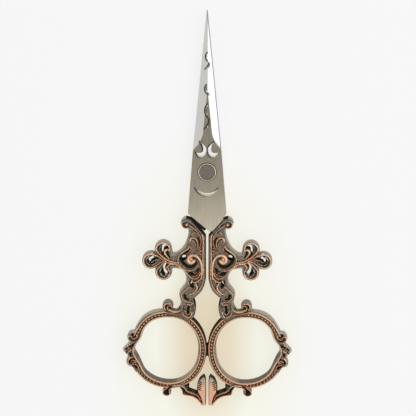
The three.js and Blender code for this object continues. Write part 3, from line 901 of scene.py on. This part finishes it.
def wall_painted_shade(relief):
    """Painted shade, where shade falls: black on walls that face the other handle, the blade, a finger or an
    opening.
    """
    sheet = relief.sheet
    x, y = sheet.x, sheet.y
    slope_y, slope_x = np.gradient(relief.depth, sheet.pitch)
    facing = slope_y < WALL_FACING
    by_hole = sheet.apart(RING_CENTRE) < HOLE_REACH
    hole_share = np.clip((x - HOLE_SHADE_FROM[0]) / HOLE_SHADE_RUN, *HOLE_SHADE)
    by_leaf = (x < LEAF_SHADE_CORNER[0]) & (y < LEAF_SHADE_CORNER[1]) & facing & ~by_hole
    shares = [share * sheet.in_box(low, high) for share, low, high in WALL_SHADE_BOXES]
    shares += [
        unit(INWARD_GAIN * slope_x) * (x < INWARD_TO),
        (x < BLADE_SIDE[0]) & (y > BLADE_SIDE[1]) & (slope_y < BLADE_FACING),
        (by_hole & (y < HOLE_SHADE_FROM[1]) & facing) * hole_share,
        (x < CONTACT_REACH) & (np.abs(y - CONTACT_Y) < CONTACT_HALF + CONTACT_REACH),
        PIERCED_SHADE * (relief.border > PIERCED_FROM),
        LEAF_SHADE * by_leaf,
    ]
    return np.maximum.reduce(shares)


def blacken(relief):
    """Black patina in the hollows, and painted shade beside the raised lines and on the walls."""
    raised = np.maximum(relief.copper, relief.pale) > RAISED
    beside = HALO * unit(HALO_GAIN * blurred(raised.astype(float), HALO_CELLS) - HALO_START)
    shade_and_patina = np.maximum(relief.shade_and_patina, np.where(raised, 0, beside))
    on_wall = relief.depth < WALL_RUN + WALL_MARGIN
    rim = RIM_SHADE * unit(1 - relief.depth / RIM_RUN)
    shaded = WALL_SHADE_AND_PATINA * shade_and_patina + np.maximum(rim, WALL_SHADE * unit(relief.depth / WALL_RUN))
    return np.where(on_wall & ~raised, unit(np.maximum(shaded, wall_painted_shade(relief))), shade_and_patina)


def make_handle():
    """The right handle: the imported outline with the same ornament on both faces."""
    low, high = (corner.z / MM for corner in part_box("right_handle"))
    middle = (low + high) / 2
    outline = cut("right_handle", middle - HANDLE_CUT_DROP)
    sheet = Sheet(outline, HANDLE_PITCH)
    relief = Relief(sheet, sheet.depth(outline, EDGE_REACH))
    draw_shank(relief)
    draw_trefoil(relief, outline)
    draw_ring(relief, outline)
    draw_leaf(relief)
    touch_rings(relief)
    shade_and_patina = blacken(relief)
    depth = sheet.snap(relief.depth)
    wall = WALL_TOP + (HALF_THICKNESS - WALL_TOP) * unit(depth / WALL_RUN) ** WALL_CURVE
    height = np.minimum(relief.height, wall)
    copper = relief.copper * rising(depth, *COPPER_RISE)
    pale_wall = unit((PALE_RUN[1] - relief.border) / (PALE_RUN[1] - PALE_RUN[0]))
    pale = np.maximum(relief.pale, pale_wall)
    marks = {"copper": (copper, copper), "pale": (pale, pale), "shade_and_patina": (shade_and_patina, shade_and_patina)}
    return plate("right_handle_cast", sheet, depth, middle + height, middle - height, **marks)


# Rivet ring
def make_rivet_ring():
    """A half-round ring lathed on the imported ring's seat."""
    low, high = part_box("rivet_ring")
    half = RIVET_RING_WIDTH / 2
    rise = (high.z - low.z) / MM
    sweep = np.linspace(0, math.pi, PROFILE_STEPS)
    profile = [(high.x / MM - half + half * math.cos(t), low.z / MM + rise * math.sin(t)) for t in sweep]
    turn = np.linspace(0, 2 * math.pi, TURN_STEPS, endpoint=False)
    points = [(r * math.cos(a) * MM, r * math.sin(a) * MM, z * MM) for a in turn for r, z in profile]
    here = np.arange(len(points)).reshape(TURN_STEPS, PROFILE_STEPS)
    there = np.roll(here, -1, axis=0)
    corners = [here, there, np.roll(there, -1, axis=1), np.roll(here, -1, axis=1)]
    mesh = bpy.data.meshes.new("rivet_ring_turned")
    mesh.from_pydata(points, [], np.stack(corners, axis=-1).reshape(-1, 4).tolist())
    return placed(mesh)


# Mottled colours: cells of noise per metre, the darker and the paler colour, and the cells' stretch
OXIDE = (1300, (0.155, 0.13, 0.104), (0.34, 0.293, 0.232))
WORN = (900, (0.4, 0.373, 0.33), (0.62, 0.58, 0.515))
BRIGHT_COPPER = (1400, (0.92, 0.54, 0.36), (1, 0.75, 0.54))
GROUND_STEEL = (300, (0.72, 0.72, 0.7), (0.79, 0.79, 0.78), (3, 12, 1))

# Plain steels of the cut walls, the rivet and its ring: cells of noise per metre, two colours and roughness
SHEARED_STEEL = (900, (0.98, 0.96, 0.87), (1, 0.99, 0.93), (0.4, 0.55))
DULL_STEEL = (2500, (0.2, 0.172, 0.15), (0.28, 0.245, 0.22), (0.36, 0.46))
TURNED_STEEL = (1800, (0.78, 0.74, 0.64), (0.88, 0.84, 0.75), (0.2, 0.28))

# Other colours
GILT = (0.97, 0.7, 0.43)
RUDDY = (0.98, 0.52, 0.33)
COPPER_SHADE_AND_PATINA = (0.01, 0.008, 0.006)
BRUSHED_STEEL = ((0.66, 0.6, 0.475), (0.8, 0.74, 0.6))
LAND_STEEL = (0.22, 0.215, 0.28)
STEEL_PAINTED_SHADE = (0.014, 0.011, 0.009)
BLACK = (0, 0, 0)
WHITE = (1, 1, 1)

# How marks, noise and the height up the scissors map to shares: the shares, and the values that give them
RAMP = (0.3, 0.7)
GILT_SHARE = (0, 0.7, 0.45, 0.65)
RUDDY_SHARE = (0.7, 0, -0.0705, -0.067)
COPPER_SHARE = (0, 1, 0.03, 0.4)
RUBBED_SHARE = (0.82, 1)
COPPER_SHADE_AND_PATINA_SHARE = (0, 0.97, 0.05, 0.9)
STEEL_PAINTED_SHADE_SHARE = (0, 0.95, 0.05, 0.9)
SHADE_AND_PATINA_METAL = (1, 0, 0.3, 0.95)
SHADE_AND_PATINA_ROUGHNESS = (0, 0.4, 0.3, 0.95)
SHADE_AND_PATINA_SHINE = 0.05
# Painted shade: the flats darken from the heel to the pivot and on to the tip
HEEL_SHADE = (1, 0.62, -0.018, -0.0055)
PIVOT_SHADE = (1, 0.81, -0.0055, 0.008)

# Grain: cells of noise per metre, their stretch, roughness, and strength and depth of bump
NOISE_DETAIL = 4
EVEN = (1, 1, 1)
GILT_CELLS = 260
RUBBED_CELLS = 700
CAST_CELLS = 2200
CAST_ROUGHNESS = (0.34, 0.5)
CAST_BUMP_CELLS = 5000
CAST_BUMP = (0.25, 0.00004)
STREAK_CELLS = 220
STREAK_STRETCH = (26, 0.7, 1)
STREAK_ROUGHNESS = (0.28, 0.38)
STREAK_BUMP = (0.12, 0.00002)
SHEARED_STRETCH = (1, 1, 6)
DULL_BUMP = (0.15, 0.00002)


# Materials
def add(tree, kind, inputs=None):
    """A new shader node, each of its inputs set to a value or linked to a socket."""
    node = tree.nodes.new("ShaderNode" + kind)
    for name, value in (inputs or {}).items():
        feed(node.inputs[name], value)
    return node


def feed(socket, value):
    if isinstance(value, bpy.types.NodeSocket):
        socket.id_data.links.new(value, socket)
    else:
        socket.default_value = value


def new_material(name):
    material = bpy.data.materials.new(name)
    material.use_nodes = True
    tree = material.node_tree
    return material, tree, tree.nodes["Principled BSDF"]


def own_place(tree):
    """Where a point lies in the object's own space."""
    return add(tree, "TexCoord").outputs["Object"]


def noise(tree, scale, stretch=EVEN):
    """Noise in the object's own space; scale is in cells per metre."""
    mapping = add(tree, "Mapping", {"Vector": own_place(tree), "Scale": stretch})
    settings = {"Vector": mapping.outputs["Vector"], "Scale": scale, "Detail": NOISE_DETAIL}
    return add(tree, "TexNoise", settings).outputs["Fac"]


def ramp(value, low, high, from_low=RAMP[0], from_high=RAMP[1]):
    settings = {"Value": value, "From Min": from_low, "From Max": from_high, "To Min": low, "To Max": high}
    return add(value.id_data, "MapRange", settings).outputs["Result"]


def mixed(factor, first, second):
    """A colour between two, each a colour or a socket."""
    node = add(factor.id_data, "Mix")
    node.data_type = "RGBA"
    feed(node.inputs["Factor"], factor)
    for name, value in (("A", first), ("B", second)):
        socket = next(s for s in node.inputs if s.name == name and s.type == "RGBA")
        feed(socket, (*value, 1) if isinstance(value, tuple) else value)
    return next(s for s in node.outputs if s.type == "RGBA")


def mottled(tree, scale, dark, pale, stretch=EVEN):
    return mixed(ramp(noise(tree, scale, stretch), 0, 1), dark, pale)


def reckoned(operation, *values, kind="Math"):
    """The result of a sum on sockets and values, the first a socket."""
    node = add(values[0].id_data, kind, dict(enumerate(values)))
    node.operation = operation
    return node.outputs["Value"]


def height_up(tree):
    """How far up the scissors a point lies from the pivot, in metres."""
    return add(tree, "SeparateXYZ", {"Vector": own_place(tree)}).outputs["Y"]


def mark(tree, name):
    node = add(tree, "Attribute")
    node.attribute_name = name
    return node.outputs["Fac"]


def bump(shader, height, strength, distance):
    settings = {"Height": height, "Strength": strength, "Distance": distance}
    feed(shader.inputs["Normal"], add(height.id_data, "Bump", settings).outputs["Normal"])


def matt_shade_and_patina(shader, shade_and_patina, roughness):
    """Bare metal where there's no patina and no painted shade, and matt black where there is."""
    feed(shader.inputs["Specular IOR Level"], SHADE_AND_PATINA_SHINE)
    feed(shader.inputs["Metallic"], ramp(shade_and_patina, *SHADE_AND_PATINA_METAL))
    sooty = ramp(shade_and_patina, *SHADE_AND_PATINA_ROUGHNESS)
    feed(shader.inputs["Roughness"], reckoned("ADD", roughness, sooty))


def antique_copper():
    """Dark oxide over copper plating, pale on the walls, bright along the lines, redder at the foot, and
    black with patina in the hollows and painted shade.
    """
    material, tree, shader = new_material("antique_copper")
    patina = mixed(mark(tree, "pale"), mottled(tree, *OXIDE), mottled(tree, *WORN))
    gilt = ramp(noise(tree, GILT_CELLS), *GILT_SHARE)
    gilded = mixed(gilt, mottled(tree, *BRIGHT_COPPER), GILT)
    ruddy = mixed(ramp(height_up(tree), *RUDDY_SHARE), gilded, RUDDY)
    copper = ramp(mark(tree, "copper"), *COPPER_SHARE)
    copper_shown = reckoned("MULTIPLY", copper, ramp(noise(tree, RUBBED_CELLS), *RUBBED_SHARE))
    plated = mixed(copper_shown, patina, ruddy)
    shade_and_patina = ramp(mark(tree, "shade_and_patina"), *COPPER_SHADE_AND_PATINA_SHARE)
    feed(shader.inputs["Base Color"], mixed(shade_and_patina, plated, COPPER_SHADE_AND_PATINA))
    matt_shade_and_patina(shader, shade_and_patina, ramp(noise(tree, CAST_CELLS), *CAST_ROUGHNESS))
    bump(shader, noise(tree, CAST_BUMP_CELLS), *CAST_BUMP)
    return material


def blade_steel():
    """Warm brushed flats with painted shade from the heel to the pivot and on to the tip, neutral ground
    faces with a dull land along the edge, and painted shade on the rims, round the ring and by the other
    blade's heel.
    """
    material, tree, shader = new_material("blade_steel")
    streaks = noise(tree, STREAK_CELLS, STREAK_STRETCH)
    up = height_up(tree)
    shade = reckoned("MULTIPLY", ramp(up, *HEEL_SHADE), ramp(up, *PIVOT_SHADE))
    flat = mixed(shade, BLACK, mixed(ramp(streaks, 0, 1), *BRUSHED_STEEL))
    bevelled = mixed(mark(tree, "ground"), flat, mottled(tree, *GROUND_STEEL))
    edged = mixed(mark(tree, "land"), bevelled, LAND_STEEL)
    shade_and_patina = ramp(mark(tree, "shade_and_patina"), *STEEL_PAINTED_SHADE_SHARE)
    feed(shader.inputs["Base Color"], mixed(shade_and_patina, edged, STEEL_PAINTED_SHADE))
    matt_shade_and_patina(shader, shade_and_patina, ramp(streaks, *STREAK_ROUGHNESS))
    bump(shader, streaks, *STREAK_BUMP)
    return material


def plain_steel(name, cells, dark, pale, roughness, stretch=EVEN, relief=None):
    """Steel whose grain sets its colour, its roughness and any bump."""
    material, tree, shader = new_material(name)
    grain = noise(tree, cells, stretch)
    feed(shader.inputs["Base Color"], mixed(ramp(grain, 0, 1), dark, pale))
    feed(shader.inputs["Metallic"], 1)
    feed(shader.inputs["Roughness"], ramp(grain, *roughness))
    if relief:
        bump(shader, grain, *relief)
    return material


# Floor: its glow, the painted warm shadow's middle and half size in metres, and where it ends in half sizes
FLOOR_HALF = 1.5
FLOOR_DROP = 0.00005
FLOOR_MATTE = (0.8, 0.8, 0.82, 1)
FLOOR_GLOW = 0.76
FLOOR_PAINTED_SHADOW = (0.87, 0.75, 0.53)
SHADOW_FRINGE = (1, 0.99, 0.86)
SHADOW_MIDDLE = (0, -0.059)
SHADOW_HALF = (0.0132, 0.026)
SHADOW_FADE = (0.55, 1.25)
SHADOW_FRINGE_FADE = (1.4, 2.8)

# Room: its colours, the direction of the dim patch overhead, and how near to it the room dims, as cosines
ROOM = (0.76, 0.755, 0.74)
ROOM_OVERHEAD = (0.31, 0.285, 0.245)
BACKDROP = (0.94, 0.935, 0.92)
OVERHEAD = (-0.06, 0.05, 0.997)
OVERHEAD_REACH = (0.935, 0.99)

# Soft box, in metres; radiance 1 looks white
BOX_DIRECTION = (0.62, 0.03, 0.79)
BOX_DISTANCE = 0.6
BOX_SIZE = 0.55
BOX_RADIANCE = 0.98


# Stage
def seen_directly(tree):
    """1 for rays from the camera and for reflections or glass that show the background."""
    path = add(tree, "LightPath")
    either = path.outputs["Is Camera Ray"]
    for name in ("Is Glossy Ray", "Is Transmission Ray"):
        either = reckoned("MAXIMUM", either, path.outputs[name])
    return either


def floor_colour_with_painted_shadow(tree):
    """White, with a painted warm shadow round the finger rings that fades through cream."""
    settings = {"Vector": own_place(tree), "Location": (*SHADOW_MIDDLE, 0), "Scale": (*SHADOW_HALF, 1)}
    centred = add(tree, "Mapping", settings)
    centred.vector_type = "TEXTURE"
    away = reckoned("LENGTH", centred.outputs["Vector"], kind="VectorMath")
    shadow_fringe = mixed(ramp(away, 0, 1, *SHADOW_FRINGE_FADE), SHADOW_FRINGE, WHITE)
    return mixed(ramp(away, 0, 1, *SHADOW_FADE), FLOOR_PAINTED_SHADOW, shadow_fringe)


def floor_material():
    """A glow of the floor's colour with its painted warm shadow, that keeps the soft shadow under the
    object.
    """
    material, tree, _ = new_material("floor")
    tree.nodes.clear()
    matte = add(tree, "BsdfDiffuse", {"Color": FLOOR_MATTE})
    glow = add(tree, "Emission", {"Color": floor_colour_with_painted_shadow(tree)})
    share = ramp(seen_directly(tree), 0, FLOOR_GLOW, 0, 1)
    shaders = {"Fac": share, 1: matte.outputs["BSDF"], 2: glow.outputs["Emission"]}
    blend = add(tree, "MixShader", shaders)
    add(tree, "OutputMaterial", {"Surface": blend.outputs["Shader"]})
    return material


def make_floor():
    mesh = bpy.data.meshes.new("floor")
    level = cad_box[0].z - FLOOR_DROP
    corners = [(x * FLOOR_HALF, y * FLOOR_HALF, level) for x, y in ((-1, -1), (1, -1), (1, 1), (-1, 1))]
    mesh.from_pydata(corners, [], [(0, 1, 2, 3)])
    mesh.materials.append(floor_material())
    floor = new_object("floor", mesh)


def make_soft_box():
    """A square lamp on the right that looks at the middle of the scissors."""
    lamp = bpy.data.lights.new("right_box", "AREA")
    lamp.size = BOX_SIZE
    lamp.energy = BOX_RADIANCE * math.pi * BOX_SIZE**2
    holder = new_object("right_box", lamp)
    towards = Vector(BOX_DIRECTION).normalized()
    holder.location = towards * BOX_DISTANCE
    holder.rotation_mode = "QUATERNION"
    holder.rotation_quaternion = towards.to_track_quat("Z", "Y")


def make_room():
    """A pale room, dimmer overhead."""
    world = bpy.data.worlds.new("studio")
    bpy.context.scene.world = world
    world.use_nodes = True
    tree = world.node_tree
    direction = add(tree, "TexCoord").outputs["Generated"]
    towards = reckoned("DOT_PRODUCT", direction, OVERHEAD, kind="VectorMath")
    overhead = ramp(towards, 0, 1, *OVERHEAD_REACH)
    room = mixed(overhead, ROOM, ROOM_OVERHEAD)
    path = add(tree, "LightPath")
    colour = mixed(path.outputs["Is Camera Ray"], room, BACKDROP)
    feed(tree.nodes["Background"].inputs["Color"], colour)


def make_camera():
    """A camera above the point that it looks at, turned about that point."""
    data = bpy.data.cameras.new("camera")
    data.lens = CAMERA_LENS
    data.sensor_width = SENSOR_WIDTH
    camera = new_object("camera", data)
    aim = Matrix.Translation(Vector(CAMERA_AIM) * MM)
    swing = Matrix.Rotation(math.radians(CAMERA_SWING), 4, "Y")
    tilt = Matrix.Rotation(math.radians(-CAMERA_TILT), 4, "X")
    above = Matrix.Translation((0, 0, CAMERA_DISTANCE * MM))
    camera.matrix_world = aim @ swing @ tilt @ above
    bpy.context.scene.camera = camera


# Assembly
def fit(piece, node, body, slot, *materials):
    for material in materials:
        piece.data.materials.append(material)
    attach(piece, body)
    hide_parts(node)


def make_scissors():
    middle = HALF_THICKNESS
    front_blade = make_blade()
    rear_blade = turned_over(front_blade, "rear_blade_ground", middle)
    right_handle = make_handle()
    left_handle = turned_over(right_handle, "left_handle_cast", middle)
    steel = blade_steel()
    walls = plain_steel("cut_steel", *SHEARED_STEEL, stretch=SHEARED_STRETCH)
    copper = antique_copper()
    bright = plain_steel("bright_steel", *TURNED_STEEL)
    fit(front_blade, "front_blade", "front_half", "blade_steel", steel, walls)
    fit(rear_blade, "rear_blade", "rear_half", "blade_steel", steel, walls)
    fit(right_handle, "right_handle", "front_half", "antique_copper", copper, copper)
    fit(left_handle, "left_handle", "rear_half", "antique_copper", copper, copper)
    fit(make_rivet_ring(), "rivet_ring", "front_half", "bright_steel", bright)
    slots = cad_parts["pivot_rivet"].data.materials
    slots.clear()
    slots.append(plain_steel("rivet_steel", *DULL_STEEL, relief=DULL_BUMP))


make_camera()
make_room()
make_soft_box()
make_floor()
make_scissors()
bpy.context.scene.view_settings.view_transform = "Standard"
